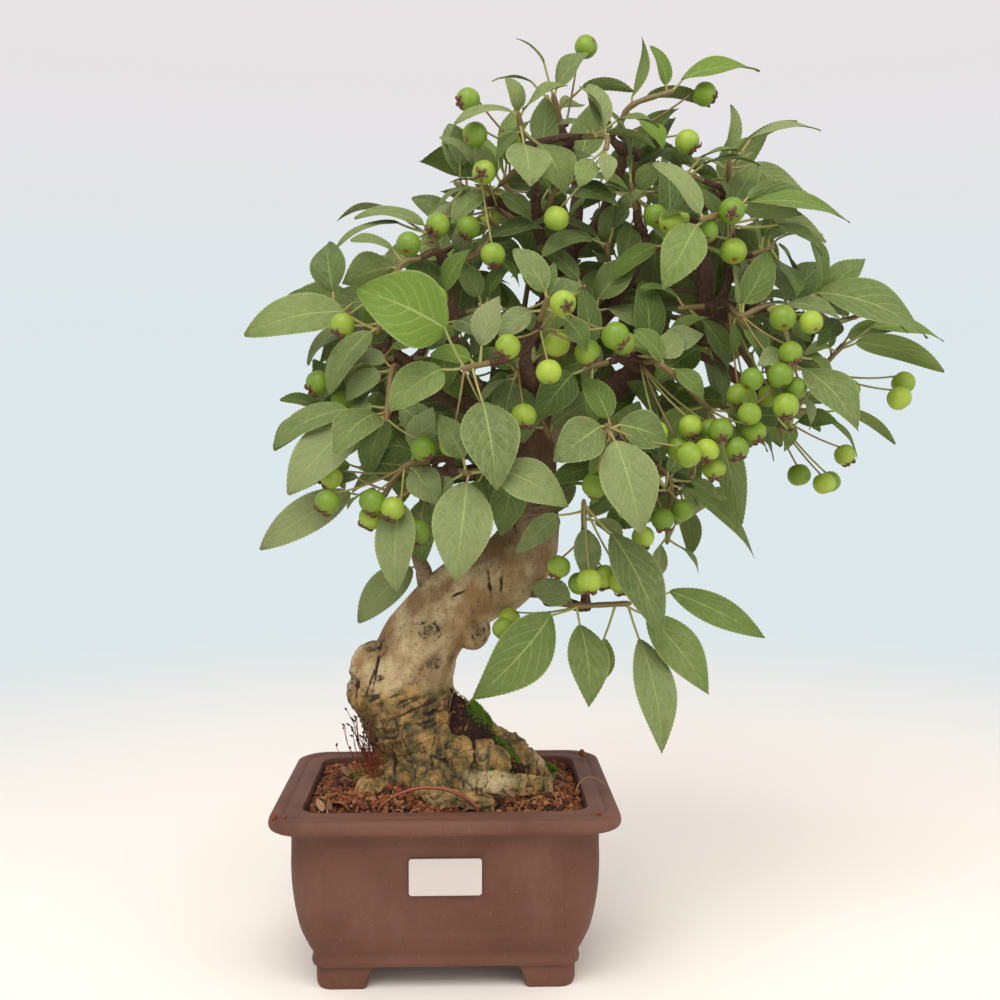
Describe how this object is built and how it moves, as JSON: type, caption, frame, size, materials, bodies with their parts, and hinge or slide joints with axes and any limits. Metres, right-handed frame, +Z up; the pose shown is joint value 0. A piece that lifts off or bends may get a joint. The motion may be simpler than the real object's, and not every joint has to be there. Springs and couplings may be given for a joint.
{
  "type": "hall crabapple bonsai",
  "caption": "Bonsai hall crabapple with a slanting tapered trunk, toothed leaves and green fruits on long stalks, in a rectangular stoneware pot on corner feet.",
  "frame": {"origin": "on the ground, under the middle of the whole outline of tree and pot", "axes": "+Z up, the front view looks along +Y, +X to the right of the front view"},
  "size_m": [0.3692, 0.1968, 0.496],
  "materials": {
    "clay": "unglazed matte brown stoneware",
    "soil": "granular orange-brown baked clay granules",
    "bark": "smooth tan bark with lenticels, rougher near the base",
    "leaf": "satin green leaf with a paler underside",
    "apple": "satin yellow-green fruit skin",
    "moss": "soft bright green moss",
    "wire": "brown anodised wire",
    "label_paper": "blank satin white plate",
    "mesh_plastic": "black drainage mesh"
  },
  "bodies": {
    "root": {"drain_mesh": "mesh_plastic", "fruits_back_centre_front": "apple", "fruits_back_left_top": "apple", "fruits_back_mid_right": "apple", "fruits_centre_front": "apple", "fruits_far_right": "apple", "fruits_left_low": "apple", "fruits_left_mid": "apple", "fruits_left_top": "apple", "fruits_mid_right": "apple", "fruits_right": "apple", "fruits_right_hang": "apple", "fruits_right_low": "apple", "fruits_right_upper": "apple", "fruits_top_left": "apple", "fruits_top_mid": "apple", "fruits_top_right": "apple", "fruits_trunk_right": "apple", "label": "label_paper", "leaves_back_centre_front": "leaf", "leaves_back_left_high": "leaf", "leaves_back_left_mid": "leaf", "leaves_back_left_top": "leaf", "leaves_back_mid_right": "leaf", "leaves_back_right_top": "leaf", "leaves_back_right_upper": "leaf", "leaves_centre_front": "leaf", "leaves_centre_low": "leaf", "leaves_centre_right": "leaf", "leaves_far_right": "leaf", "leaves_front_hang": "leaf", "leaves_front_right": "leaf", "leaves_inner_mid": "leaf", "leaves_inner_rear": "leaf", "leaves_left_bright": "leaf", "leaves_left_centre": "leaf", "leaves_left_high": "leaf", "leaves_left_low": "leaf", "leaves_left_mid": "leaf", "leaves_left_top": "leaf", "leaves_left_upper": "leaf", "leaves_low_right": "leaf", "leaves_mid_right": "leaf", "leaves_right": "leaf", "leaves_right_hang": "leaf", "leaves_right_low": "leaf", "leaves_right_top": "leaf", "leaves_right_upper": "leaf", "leaves_stub": "leaf", "leaves_top": "leaf", "leaves_top_left": "leaf", "leaves_top_mid": "leaf", "leaves_top_right": "leaf", "leaves_trunk_right": "leaf", "leaves_upper_centre": "leaf", "moss": "moss", "pot": "clay", "soil": "soil", "tie_wire": "wire", "wood": "bark"}
  },
  "joints": []
}
